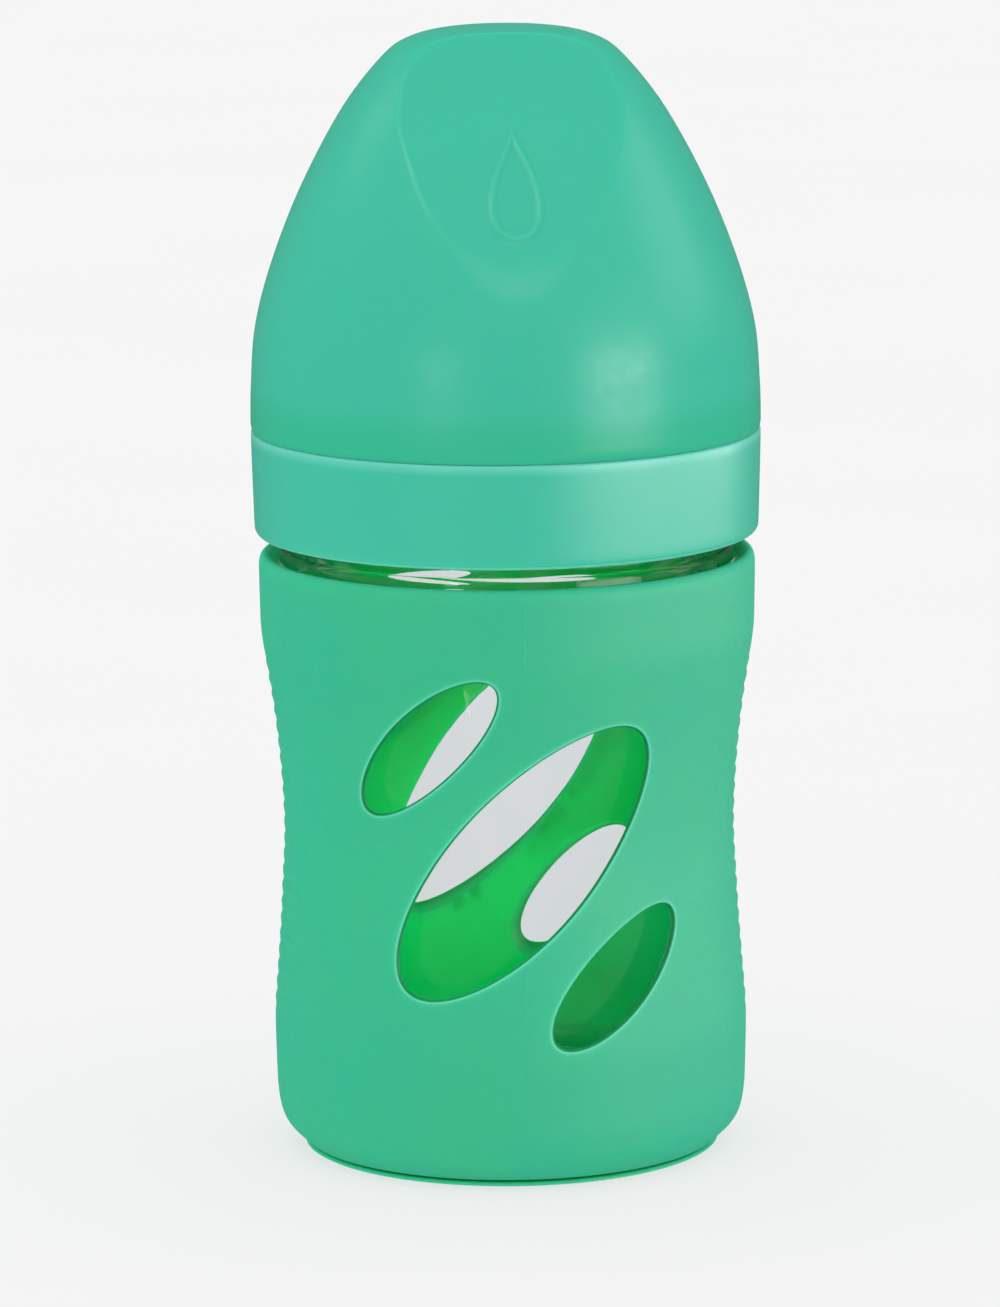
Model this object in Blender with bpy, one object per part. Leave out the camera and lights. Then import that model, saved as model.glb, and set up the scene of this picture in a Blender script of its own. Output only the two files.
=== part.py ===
"""Wide-neck glass feeding bottle in a silicone sleeve, with screw ring, teat, mixing grid and travel cap.

Metres in Blender, +Z up. The sizes below are in millimetres and each mesh is scaled as it is made.
The origin is the centre of the sleeve's foot, on the surface that it stands on, and the front is -Y.
Everything turned shares the Z axis, which is also the axis of every joint.
"""

import math

import bmesh
import bpy

MM = 0.001
SEGMENTS = 40  # flats round a turned piece
GAP = 0.3  # clearance between pieces that touch on the real bottle
SLEEVE_GAP = 0.2  # clearance between the glass and the side of the sleeve

# Heights of the parting lines
FOOT = 0.0
SLEEVE_TOP = 81.4
RING_BOTTOM = 83.6
RING_TOP = 97.2
CAP_TOP = 151.0

# Sleeve
FOOT_OPENING_RADIUS = 22.0
FOOT_RADIUS = 27.9
SLEEVE_FLOOR = 3.0  # thickness under the glass
SLEEVE_SIDE = ((30.4, 3.4), (31.6, 8.0), (31.87, 17.0), (31.1, 29.0), (30.3, 43.0), (30.85, 54.0),
               (32.1, 64.0), (33.1, 70.5), (33.25, 79.0))
SLEEVE_RIM = ((33.0, 80.6), (32.3, SLEEVE_TOP), (31.6, 81.2), (31.0, 80.5))
WINDOW_RADIUS = 30.8  # the sleeve is unrolled at this radius to lay out its windows
WINDOW_POINTS = 28
WINDOW_LIP = 0.4  # thickness of the windows' edge, behind which they widen towards the glass
WINDOW_FLARE = 0.8  # how much they widen for each millimetre of depth
# (distance round the sleeve, height, half length, half width, tilt in degrees)
WINDOWS = {
    "large": (0.0, 43.8, 23.4, 9.46, 46.5),
    "upper": (-13.1, 59.3, 12.85, 4.84, 43.4),
    "lower": (12.9, 28.1, 12.2, 4.87, 43.4),
}

# Glass
GLASS_WALL = 2.4
GLASS_BASE_CORNER = 5.0
GLASS_FLOOR = 5.2
WAIST_RADIUS = 29.0
SHOULDER_RADIUS = 30.8
GLASS_SIDE = ((WAIST_RADIUS, 43.0), (29.4, 53.0), (30.2, 61.0), (SHOULDER_RADIUS, 69.0))
BEAD_RADIUS = 31.2
NECK_RADIUS = 29.9
GLASS_RIM = 91.8

# Thread, single start, right hand
THREAD_PITCH = 4.0
THREAD_HEIGHT = 1.4
THREAD_FOOT = 1.7  # width where the ridge meets its wall
THREAD_CREST = 0.9
THREAD_TURNS = 1.0
THREAD_MIDDLE = 86.0  # height of the glass ridge's middle where it starts
THREAD_SINK = 0.8  # how deep the ridge's foot lies in its wall

# Ring
RING_RADIUS = 34.0
RING_BORE = 31.9
WEB_UNDERSIDE = 95.4
WEB_HOLE = 24.2
UPSTAND_RADIUS = 32.0
UPSTAND_WALL = 1.6
UPSTAND_TOP = 101.2

# Mixing grid
GRID_FLANGE = 0.8
GRID_FLANGE_RADIUS = 29.4
GRID_RADIUS = 26.7
GRID_WALL = 1.2
GRID_FLOOR = 88.0
GRID_HOLE = 3.6
GRID_PITCH = 4.8

# Teat
TEAT_FLANGE_RADIUS = 30.8
TEAT_FLANGE = 1.9
TEAT_NECK = 23.6
TEAT_WALL = 1.9
FEED_HOLE = 0.45
TEAT_SIDE = ((25.0, 98.9), (24.0, 100.5), (21.4, 107.0), (16.6, 114.0), (11.4, 119.0), (7.9, 123.5),
             (7.0, 128.0), (7.6, 134.0), (6.6, 139.4), (3.6, 142.4), (FEED_HOLE, 143.2))
VENT_RADIUS = 0.5
VENT_PLACE = 24.6  # distance of the vent from the axis, inside the glass rim

# Travel cap
CAP_BOTTOM = RING_TOP + GAP
CAP_WALL = 1.7
CAP_SIDE = ((34.1, CAP_BOTTOM), (33.95, 104.0), (33.3, 111.5), (31.0, 120.0), (27.0, 130.0), (21.5, 140.2),
            (16.2, 147.0), (12.6, 149.6), (7.4, 150.8), (0.0, CAP_TOP))
# (distance of the scoop's face from the axis, height)
SCOOP = ((36.5, 110.0), (31.0, 118.2), (26.5, 126.1), (20.1, 135.1), (14.2, 142.0), (6.6, CAP_TOP))
SCOOP_BLEND = 0.8  # how far the scoop's edge is rounded


def smooth(points, spans=3):
    """A Catmull-Rom curve through the points, with this many steps between each two."""
    padded = [points[0], *points, points[-1]]
    curve = [points[0]]
    for a, b, c, d in zip(padded, padded[1:], padded[2:], padded[3:]):
        for step in range(1, spans + 1):
            t = step / spans
            curve.append(tuple(
                0.5 * (2 * q + (r - p) * t + (2 * p - 5 * q + 4 * r - s) * t ** 2
                       + (3 * q - p - 3 * r + s) * t ** 3)
                for p, q, r, s in zip(a, b, c, d)))
    return curve


def arc(centre, radius, start, end, steps=3):
    """Points on an arc in the (radius, height) plane, angles in degrees from outward, anticlockwise."""
    angles = [math.radians(start + (end - start) * i / steps) for i in range(steps + 1)]
    return [(centre[0] + radius * math.cos(a), centre[1] + radius * math.sin(a)) for a in angles]


def inset(curve, distance):
    """The outer curve, drawn bottom to top, moved square to itself towards the axis."""
    moved = []
    for i, (r, z) in enumerate(curve):
        before, after = curve[max(i - 1, 0)], curve[min(i + 1, len(curve) - 1)]
        along, up = after[0] - before[0], after[1] - before[1]
        length = math.hypot(along, up)
        moved.append((r - distance * up / length, z + distance * along / length))
    return moved


def height_lookup(curve):
    """A function that gives the curve's radius at a height."""
    def radius_at(z):
        for (r0, z0), (r1, z1) in zip(curve, curve[1:]):
            if z <= z1:
                return r0 + (r1 - r0) * (z - z0) / (z1 - z0)
        return curve[-1][0]
    return radius_at


def circle(radius, height):
    """One ring of points, or a single point on the axis."""
    if radius < 1e-6:
        return [(0.0, 0.0, height)]
    turns = [2 * math.pi * i / SEGMENTS for i in range(SEGMENTS)]
    return [(radius * math.cos(a), radius * math.sin(a), height) for a in turns]


def skin(name, rings, joined):
    """A mesh object skinned over rings of points, where a ring of one point is a pole.

    joined closes the last ring onto the first. Two poles in a row are the inner and outer top of a shell.
    """
    mesh = bmesh.new()
    made = [[mesh.verts.new([x * MM for x in point]) for point in ring] for ring in rings]
    pairs = list(zip(made, made[1:] + made[:1]))
    for lower, upper in pairs if joined else pairs[:-1]:
        count = max(len(lower), len(upper))
        if count == 1:
            continue
        for i in range(count):
            j = (i + 1) % count
            corners = [lower[i % len(lower)], lower[j % len(lower)]]
            corners += [upper[j % len(upper)], upper[i % len(upper)]]
            mesh.faces.new(dict.fromkeys(corners))
    bmesh.ops.recalc_face_normals(mesh, faces=mesh.faces)
    return finished(name, mesh)


def finished(name, mesh):
    """The bmesh as a smooth-shaded object with sharp edges kept."""
    data = bpy.data.meshes.new(name)
    mesh.to_mesh(data)
    mesh.free()
    data.shade_smooth()
    data.set_sharp_from_angle(angle=math.radians(35))
    made = bpy.data.objects.new(name, data)
    bpy.context.scene.collection.objects.link(made)
    return made


def turned(name, outline, joined=True):
    """A body turned round Z from an outline of (radius, height) points."""
    return skin(name, [circle(r, z) for r, z in outline], joined)


def plastic(made, colour, roughness, transmission=0.0):
    """Gives the object its own Principled material."""
    material = bpy.data.materials.new(made.name)
    material.use_nodes = True
    shader = material.node_tree.nodes["Principled BSDF"]
    shader.inputs["Base Color"].default_value = (*colour, 1)
    shader.inputs["Roughness"].default_value = roughness
    shader.inputs["Metallic"].default_value = 0
    shader.inputs["Transmission Weight"].default_value = transmission
    made.data.materials.append(material)
    return made


def combined(made, tool, operation):
    """Adds or cuts with a tool object, which is hidden and stays editable."""
    tool.hide_render = True
    tool.display_type = "WIRE"
    modifier = made.modifiers.new(tool.name, "BOOLEAN")
    modifier.operation = operation
    modifier.solver = "EXACT"
    modifier.object = tool
    return made


def thread_ridge(name, wall, inwards, start):
    """A helical ridge that stands from a wall of this radius. start is in turns after the glass ridge's."""
    side = -1 if inwards else 1
    steps = round(THREAD_TURNS * SEGMENTS)
    rings = []
    for i in range(steps + 1):
        turn = start + THREAD_TURNS * i / steps
        middle = THREAD_MIDDLE + THREAD_PITCH * (turn - (0.5 if inwards else 0.0))
        lead = min(i, steps - i, 4) / 4  # the ridge rises from its wall at both ends
        crest = wall + side * (THREAD_HEIGHT * lead - 0.3 * (1 - lead))
        foot = wall - side * THREAD_SINK
        a = 2 * math.pi * turn
        section = ((foot, -THREAD_FOOT / 2), (crest, -THREAD_CREST / 2),
                   (crest, THREAD_CREST / 2), (foot, THREAD_FOOT / 2))
        rings.append([(r * math.cos(a), r * math.sin(a), middle + dz) for r, dz in section])
    ends = [[tuple(sum(axis) / 4 for axis in zip(*ring))] for ring in (rings[0], rings[-1])]
    return skin(name, [ends[0], *rings, ends[1]], False)


def window_cutter(name, window, behind):
    """A slanted oval plug wrapped round the sleeve. The rear windows mirror the front ones in y."""
    across, height, half_length, half_width, tilt = window
    slope = math.radians(tilt)
    side = 1 if behind else -1
    sleeve_radius = height_lookup(SLEEVE_SIDE)

    def wrapped(depth, s, z):
        a, radius = s / WINDOW_RADIUS, sleeve_radius(z) - depth
        return (radius * math.sin(a), side * radius * math.cos(a), z)

    def ring(depth):
        wider = WINDOW_FLARE * max(0.0, depth - WINDOW_LIP)
        points = []
        for i in range(WINDOW_POINTS):
            a = 2 * math.pi * i / WINDOW_POINTS
            along, over = (half_length + wider) * math.cos(a), (half_width + wider) * math.sin(a)
            s = across + along * math.cos(slope) - over * math.sin(slope)
            points.append(wrapped(depth, s, height + along * math.sin(slope) + over * math.cos(slope)))
        return points

    inner, outer = 4.0, -4.0
    ends = [[wrapped(depth, across, height)] for depth in (inner, outer)]
    return skin(name, [ends[0], ring(inner), ring(WINDOW_LIP), ring(outer), ends[1]], False)


def silicone_sleeve():
    """Soft sleeve, open at the top, with a lipped foot and six oval windows."""
    corner = (WAIST_RADIUS - GLASS_BASE_CORNER, SLEEVE_FLOOR + GLASS_BASE_CORNER + SLEEVE_GAP)
    outside = [(FOOT_OPENING_RADIUS, FOOT), (FOOT_RADIUS - 0.5, FOOT), (FOOT_RADIUS, 0.6), (29.1, 2.0)]
    inside = arc(corner, GLASS_BASE_CORNER + SLEEVE_GAP, -90, 0, 4)
    inside += [(r + SLEEVE_GAP, z) for r, z in GLASS_SIDE]
    made = turned("silicone_sleeve", [*outside, *SLEEVE_SIDE, *SLEEVE_RIM, *inside[::-1],
                                      (FOOT_OPENING_RADIUS, SLEEVE_FLOOR)])
    for place, window in WINDOWS.items():
        for behind in (False, True):
            name = f"cutter_window_{place}_{'rear' if behind else 'front'}"
            combined(made, window_cutter(name, window, behind), "DIFFERENCE")
    return plastic(made, (0.07, 0.5, 0.28), 0.55)


def glass_bottle():
    """Glass bottle, straight up to the waist and wider above, so that it lifts out of the sleeve."""
    base = SLEEVE_FLOOR + GAP
    corner = (WAIST_RADIUS - GLASS_BASE_CORNER, base + GLASS_BASE_CORNER)
    side = list(GLASS_SIDE)
    bead = [(SHOULDER_RADIUS, 78.4), (29.9, 80.8), *arc((BEAD_RADIUS - 0.8, 82.3), 0.8, -60, 60, 3)]
    rim_middle = (NECK_RADIUS - GLASS_WALL / 2, GLASS_RIM - GLASS_WALL / 2)
    rim = arc(rim_middle, GLASS_WALL / 2, 0, 180, 4)
    inner_corner = (WAIST_RADIUS - GLASS_WALL - 5.5, base + GLASS_FLOOR + 5.5)
    inner_side = [(r - GLASS_WALL, z) for r, z in side]
    inside = [(NECK_RADIUS - GLASS_WALL - 0.2, 84.0), (SHOULDER_RADIUS - GLASS_WALL, 78.0), *inner_side[::-1]]
    floor = arc(inner_corner, 5.5, 0, -90, 3) + [(0, base + GLASS_FLOOR + 0.4)]
    punt = [(0, base + 2.0), (18.5, base + 1.3), (20.5, base)]
    outside = punt + arc(corner, GLASS_BASE_CORNER, -90, 0, 3) + side + bead + [(NECK_RADIUS, 83.5)] + rim
    made = turned("glass_bottle", outside + inside + floor, False)
    combined(made, thread_ridge("guide_glass_thread", NECK_RADIUS, False, 0.0), "UNION")
    return plastic(made, (0.85, 0.95, 0.9), 0.05, 1.0)


def screw_ring():
    """Ring with an internal thread, a web that clamps the teat and an upstand that holds the cap."""
    inner_upstand = UPSTAND_RADIUS - UPSTAND_WALL
    skirt = [(RING_BORE, RING_BOTTOM), (32.9, RING_BOTTOM), (33.5, 84.0), (33.75, 84.8), (RING_RADIUS, 93.0),
             (RING_RADIUS, RING_TOP - 0.5), (RING_RADIUS - 0.5, RING_TOP)]
    upstand = [(UPSTAND_RADIUS, RING_TOP), (UPSTAND_RADIUS, UPSTAND_TOP - 0.4),
               (UPSTAND_RADIUS - 0.4, UPSTAND_TOP), (inner_upstand + 0.4, UPSTAND_TOP),
               (inner_upstand, UPSTAND_TOP - 0.4), (inner_upstand, RING_TOP)]
    web = [(WEB_HOLE + 0.3, RING_TOP), (WEB_HOLE, RING_TOP - 0.3), (WEB_HOLE, WEB_UNDERSIDE + 0.3),
           (WEB_HOLE + 0.3, WEB_UNDERSIDE), (RING_BORE, WEB_UNDERSIDE)]
    made = turned("screw_ring", skirt + upstand + web)
    combined(made, thread_ridge("guide_ring_thread", RING_BORE, True, 0.25), "UNION")
    return plastic(made, (0.1, 0.55, 0.36), 0.35)


def mixing_grid():
    """Shallow perforated cup that hangs in the neck by its flange and breaks up lumps of powder."""
    top = GLASS_RIM + GAP + GRID_FLANGE
    under = top - GRID_FLANGE
    outline = [(0, GRID_FLOOR), (GRID_RADIUS - 0.8, GRID_FLOOR), (GRID_RADIUS, GRID_FLOOR + 0.8),
               (GRID_RADIUS, under), (GRID_FLANGE_RADIUS, under), (GRID_FLANGE_RADIUS, top),
               (GRID_RADIUS - 1.0, top), (GRID_RADIUS - GRID_WALL, GRID_FLOOR + GRID_WALL),
               (0, GRID_FLOOR + GRID_WALL)]
    made = turned("mixing_grid", outline, False)
    holes = bmesh.new()
    reach = int(GRID_RADIUS / GRID_PITCH) + 1
    for i in range(-reach, reach + 1):
        for j in range(-reach, reach + 1):
            x, y = i * GRID_PITCH, j * GRID_PITCH
            if math.hypot(abs(x) + GRID_HOLE / 2, abs(y) + GRID_HOLE / 2) > GRID_RADIUS - 2.0:
                continue
            cube = bmesh.ops.create_cube(holes, size=1.0)["verts"]
            bmesh.ops.scale(holes, verts=cube, vec=(GRID_HOLE * MM, GRID_HOLE * MM, 4 * MM))
            bmesh.ops.translate(holes, verts=cube, vec=(x * MM, y * MM, (GRID_FLOOR + 0.6) * MM))
    combined(made, finished("cutter_grid_holes", holes), "DIFFERENCE")
    return plastic(made, (0.8, 0.85, 0.83), 0.4)


def teat():
    """Silicone teat: a flange under the ring's web, a snap groove round the web and a vent in the flange."""
    under = GLASS_RIM + GAP + GRID_FLANGE + GAP
    flange_top = under + TEAT_FLANGE
    side = list(TEAT_SIDE)
    bore = TEAT_NECK - TEAT_WALL
    inner = inset(side, TEAT_WALL)[2:]
    inner[-1] = (FEED_HOLE, side[-1][1] - TEAT_WALL)
    groove = [(TEAT_NECK, flange_top), (TEAT_NECK, RING_TOP + GAP), (24.8, RING_TOP + GAP)]
    outline = [(TEAT_FLANGE_RADIUS - 0.3, under), (TEAT_FLANGE_RADIUS, under + 0.4),
               (TEAT_FLANGE_RADIUS, flange_top)]
    outline += groove + side + inner[::-1] + [(bore, 99.5), (bore, under)]
    made = turned("teat", outline)
    vent = bmesh.new()
    radius, length = VENT_RADIUS * MM, 3 * TEAT_FLANGE * MM
    bmesh.ops.create_cone(vent, cap_ends=True, segments=12, radius1=radius, radius2=radius, depth=length)
    bmesh.ops.translate(vent, verts=vent.verts, vec=(VENT_PLACE * MM, 0, (under + TEAT_FLANGE / 2) * MM))
    combined(made, finished("cutter_vent", vent), "DIFFERENCE")
    return plastic(made, (0.9, 0.88, 0.82), 0.3, 0.4)


def travel_cap():
    """Dome cap with a thumb scoop on the front and on the back."""
    scoop = smooth(SCOOP)
    outer = smooth(CAP_SIDE, 2)
    inner = inset(outer, CAP_WALL)
    inner[0] = (CAP_SIDE[0][0] - CAP_WALL, CAP_BOTTOM)
    inner[-1] = (0, CAP_TOP - CAP_WALL)

    def section(radius, height, face):
        """A circle flattened front and back at this distance, with rounded corners."""
        if radius < 1e-6:
            return circle(radius, height)
        points = []
        for x, y, z in circle(radius, height):
            flat = face / max(abs(y) / radius, 1e-3)
            mix = max(0.0, min(1.0, 0.5 + 0.5 * (radius - flat) / SCOOP_BLEND))
            cut = radius + (flat - radius) * mix - SCOOP_BLEND * mix * (1 - mix)
            points.append((x * cut / radius, y * cut / radius, z))
        return points

    face_at = height_lookup(scoop)
    inner_face_at = height_lookup(inset(scoop, CAP_WALL))
    rings = [section(r, z, face_at(z)) for r, z in outer]
    rings += [section(r, z, inner_face_at(z)) for r, z in inner[::-1]]
    return plastic(skin("travel_cap", rings, True), (0.08, 0.52, 0.34), 0.3, 0.3)


def main():
    for old in list(bpy.data.objects):
        bpy.data.objects.remove(old, do_unlink=True)
    for piece in (silicone_sleeve, glass_bottle, mixing_grid, teat, screw_ring, travel_cap):
        piece()


main()
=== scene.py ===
"""Looks of the baby bottle: fine meshes, materials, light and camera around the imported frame.

Metres in Blender, +Z up, front -Y. Shapes are worked out in millimetres and scaled as each mesh is made.
Angles round the bottle are counted from the front, -Y, towards +X.
"""

import math

import bmesh
import bpy
import numpy as np
from mathutils import Matrix, Vector
from mathutils.geometry import delaunay_2d_cdt


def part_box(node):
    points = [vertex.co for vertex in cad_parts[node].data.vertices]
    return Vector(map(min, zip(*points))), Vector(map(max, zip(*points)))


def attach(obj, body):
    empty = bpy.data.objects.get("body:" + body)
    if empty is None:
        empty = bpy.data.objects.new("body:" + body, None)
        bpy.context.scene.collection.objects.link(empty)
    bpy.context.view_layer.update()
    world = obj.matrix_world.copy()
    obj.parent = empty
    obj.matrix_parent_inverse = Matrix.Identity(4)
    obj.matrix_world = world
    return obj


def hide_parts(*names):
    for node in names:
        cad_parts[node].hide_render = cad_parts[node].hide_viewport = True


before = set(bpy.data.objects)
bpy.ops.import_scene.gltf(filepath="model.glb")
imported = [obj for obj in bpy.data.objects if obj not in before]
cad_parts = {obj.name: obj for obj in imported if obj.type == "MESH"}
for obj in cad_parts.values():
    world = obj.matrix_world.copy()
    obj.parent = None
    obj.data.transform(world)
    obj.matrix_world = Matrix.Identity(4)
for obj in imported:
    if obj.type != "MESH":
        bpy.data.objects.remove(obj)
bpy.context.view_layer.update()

MM = 0.001
TURN = 2 * math.pi


def lowest(node):
    """Height of a CAD node's underside, in millimetres."""
    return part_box(node)[0].z / MM


def highest(node):
    """Height of a CAD node's top, in millimetres."""
    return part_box(node)[1].z / MM


# Parting heights, from the frame
RIM_TOP = highest("silicone_sleeve") - 0.5  # the soft rim is rounded off below the CAD edge
GLASS_BASE = lowest("glass_bottle")
GLASS_RIM = highest("glass_bottle")
GRID_FLOOR = lowest("mixing_grid")
GRID_TOP = highest("mixing_grid")
RING_BOTTOM = lowest("screw_ring")
UPSTAND_TOP = highest("screw_ring")
TEAT_BOTTOM = lowest("teat")
CAP_BOTTOM = lowest("travel_cap")
CAP_TOP = highest("travel_cap")
GAP = 0.3
RING_TOP = CAP_BOTTOM - GAP
LEDGE = CAP_BOTTOM - 0.02  # where the cap comes down on the ring

# Glass
GLASS_WALL = 2.4
BASE_CORNER = 5.0
WAIST_RADIUS = 29.0
WAIST_TOP = 43.0
SHOULDER_RADIUS = 30.8
SHOULDER_BOTTOM = 69.0
NECK_RADIUS = 29.9
GLASS_FLOOR = GLASS_BASE + 5.2
GLASS_HEEL = 5.5  # radius between the inner wall and the floor
ROUND_COLUMNS = 224  # columns round the glass and the ring

# Sleeve
SLEEVE_GAP = 0.2
SLEEVE_FLOOR = GLASS_BASE - GAP
FOOT_OPENING = 22.0
BODY_BOTTOM, BODY_TOP = 8.0, 79.0  # the stretch that is unrolled, with the windows
BODY_SIDE = ((31.68, BODY_BOTTOM), (31.8, 12.0), (31.87, 18.0), (31.45, 24.0), (31.0, 30.0), (30.65, 36.0),
             (30.32, 42.5), (30.42, 48.0), (30.85, 54.0), (31.5, 60.0), (32.4, 66.0), (33.05, 70.5),
             (33.2, 75.0), (33.25, BODY_TOP))
WINDOW_RADIUS = 30.8  # the sleeve is unrolled at this radius
WINDOWS = (  # distance round the sleeve, height, half length, half width, tilt in degrees
    (0.0, 43.8, 23.4, 9.46, 46.5),
    (-13.1, 59.3, 12.85, 4.84, 43.4),
    (12.9, 28.1, 12.2, 4.87, 43.4),
)
REAR_LIFT = 1.1
COLUMN_STEP = 0.8  # round the sleeve
OUTER_ROWS, INNER_ROWS = 190, 40
INNER_BOTTOM = 8.3
LARGE_WINDOW_POINTS, SMALL_WINDOW_POINTS = 160, 96
OUTER_MARGIN, INNER_MARGIN = 0.3, 1.9  # kept free of the skins' own points round a window
WINDOW_LIP = 0.42
LIP_OVERHANG = 0.16  # how far a window's lip reaches over its edge
WINDOW_FLARE = 0.8  # how much a window widens for each millimetre behind its lip
RIB_PITCH = 2.2
RIB_DEPTH = 0.09
RIB_BOTTOM, RIB_TOP = 17.0, 68.0
RIB_FADE = 3.0
SEAM_HEIGHT = 0.035
SEAM_HALF_WIDTH = 0.16

# Thread
THREAD_PITCH = 4.0
THREAD_HEIGHT = 1.4
THREAD_FOOT = 1.7
THREAD_CREST = 0.9
THREAD_MIDDLE = 86.0
THREAD_ROWS = 0.17  # height between the rows of points that carry a thread

# Ring
RING_BORE = 31.9
RING_RADIUS = 34.05
WEB_HOLE = 24.2
WEB_UNDERSIDE = 95.4
UPSTAND_RADIUS = 32.0
UPSTAND_WALL = 1.6

# Travel cap
CAP_WALL = 1.7
CAP_SIDE = ((33.86, CAP_BOTTOM), (34.0, CAP_BOTTOM + 0.5), (34.08, CAP_BOTTOM + 1.4), (33.95, 104.0),
            (33.3, 111.5), (31.0, 120.0), (27.0, 130.0), (21.5, 140.2), (16.2, 147.0), (12.6, 149.6),
            (7.4, 150.8), (0.0, CAP_TOP))
SCOOP = ((37.0, 110.0), (32.3, 118.2), (30.9, 120.4), (27.3, 126.1), (20.4, 135.1), (14.1, 142.0),
         (6.6, CAP_TOP))


# ---------------------------------------------------------------- curves

def smooth(points, spans=8):
    """A Catmull-Rom curve through the points, with this many steps between each two."""
    padded = [points[0], *points, points[-1]]
    curve = [tuple(points[0])]
    for a, b, c, d in zip(padded, padded[1:], padded[2:], padded[3:]):
        for step in range(1, spans + 1):
            t = step / spans
            curve.append(tuple(
                0.5 * (2 * q + (r - p) * t + (2 * p - 5 * q + 4 * r - s) * t ** 2
                       + (3 * q - p - 3 * r + s) * t ** 3)
                for p, q, r, s in zip(a, b, c, d)))
    return curve


def arc(centre, radius, start, end, steps=6):
    """Points on an arc in the (radius, height) plane, angles in degrees from outward, anticlockwise."""
    angles = [math.radians(start + (end - start) * i / steps) for i in range(steps + 1)]
    return [(centre[0] + radius * math.cos(a), centre[1] + radius * math.sin(a)) for a in angles]


def line(start, end, step):
    """Points from start to just before end, about this far apart."""
    count = max(1, round(math.dist(start, end) / step))
    return [tuple(s + (e - s) * i / count for s, e in zip(start, end)) for i in range(count)]


def inset(curve, distance):
    """The outer curve, drawn bottom to top, moved square to itself towards the axis."""
    moved = []
    for i, (r, z) in enumerate(curve):
        before, after = curve[max(i - 1, 0)], curve[min(i + 1, len(curve) - 1)]
        along, up = after[0] - before[0], after[1] - before[1]
        length = math.hypot(along, up)
        moved.append((r - distance * up / length, z + distance * along / length))
    return moved


def radius_at(curve, heights):
    """The curve's radius at these heights."""
    radii, levels = zip(*curve)
    return np.interp(heights, levels, radii)


def ease(low, high, x):
    """0 below low, 1 above high and smooth between."""
    t = np.clip((x - low) / (high - low), 0, 1)
    return t * t * (3 - 2 * t)


# ---------------------------------------------------------------- meshes

class Draft:
    """The points and faces of one piece, in millimetres."""

    def __init__(self):
        self.points = []
        self.faces = []
        self.marks = {}

    def add(self, points, **marks):
        """Adds points and returns their numbers. Each mark is one value for them all, or one for each."""
        first = len(self.points)
        self.points.extend(tuple(p) for p in points)
        numbers = list(range(first, len(self.points)))
        for mark, value in marks.items():
            values = np.broadcast_to(value, len(numbers))
            self.marks.setdefault(mark, {}).update(zip(numbers, map(float, values)))
        return numbers

    def strip(self, lower, upper):
        """Faces between two closed loops, where a loop of one point is a pole."""
        count = max(len(lower), len(upper))
        for i in range(count if count > 1 else 0):
            j = (i + 1) % count
            corners = [lower[i % len(lower)], lower[j % len(lower)]]
            corners += [upper[j % len(upper)], upper[i % len(upper)]]
            self.faces.append(tuple(dict.fromkeys(corners)))

    def fill(self, flat, numbers, openings):
        """Triangles over flat points (x, y) with these numbers, except inside openings (x, y, numbers).

        The openings hold no points, so a triangle inside one has all its corners on that one's edge.
        """
        flat, numbers, edges = list(flat), list(numbers), []
        owner = [0] * len(flat)
        for which, (edge_x, edge_y, loop) in enumerate(openings, 1):
            first, count = len(flat), len(loop)
            flat.extend(zip(edge_x, edge_y))
            numbers.extend(loop)
            owner.extend([which] * count)
            edges += [(first + i, first + (i + 1) % count) for i in range(count)]
        triangles = np.array(delaunay_2d_cdt([Vector(p) for p in flat], edges, [], 0, 1e-6, False)[2])
        owners = np.array(owner)[triangles]
        inside = (owners[:, 0] > 0) & (owners[:, 0] == owners[:, 1]) & (owners[:, 1] == owners[:, 2])
        self.faces.extend(map(tuple, np.array(numbers)[triangles[~inside]].tolist()))

    def object(self, name, sharp=40):
        """The piece as a smooth-shaded object: faces pointing out, edges over this angle sharp."""
        data = bpy.data.meshes.new(name)
        data.from_pydata([[c * MM for c in p] for p in self.points], [], self.faces)
        mesh = bmesh.new()
        mesh.from_mesh(data)
        bmesh.ops.recalc_face_normals(mesh, faces=mesh.faces)
        mesh.to_mesh(data)
        mesh.free()
        for mark, values in self.marks.items():
            column = data.attributes.new(mark, "FLOAT", "POINT")
            for i, value in values.items():
                column.data[i].value = value
        data.shade_smooth()
        data.set_sharp_from_angle(angle=math.radians(sharp))
        made = bpy.data.objects.new(name, data)
        bpy.context.scene.collection.objects.link(made)
        return made


def ring_points(radii, heights, angles):
    """Points round the axis, at angles counted from the front."""
    radii, heights, angles = np.broadcast_arrays(radii, heights, angles)
    return np.stack([radii * np.sin(angles), -radii * np.cos(angles), heights], axis=-1)


def turned(draft, outline, angles, shape=None, joined=True, thin=()):
    """Adds a body turned from an outline of (radius, height). shape(radius, height, angle) gives the radius.

    Outline points that are also in the last argument are marked for a painted edge highlight.
    """
    loops = []
    for r, z in outline:
        if r < 1e-6:
            loops.append(draft.add([(0, 0, z)]))
            continue
        radii = shape(r, z, angles) if shape else r
        loops.append(draft.add(ring_points(radii, z, angles), thin=float((r, z) in thin)))
    for lower, upper in zip(loops, loops[1:] + loops[:1] if joined else loops[1:]):
        draft.strip(lower, upper)
    return loops


def even(count):
    """Angles evenly round the axis."""
    return np.arange(count) * TURN / count


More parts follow.
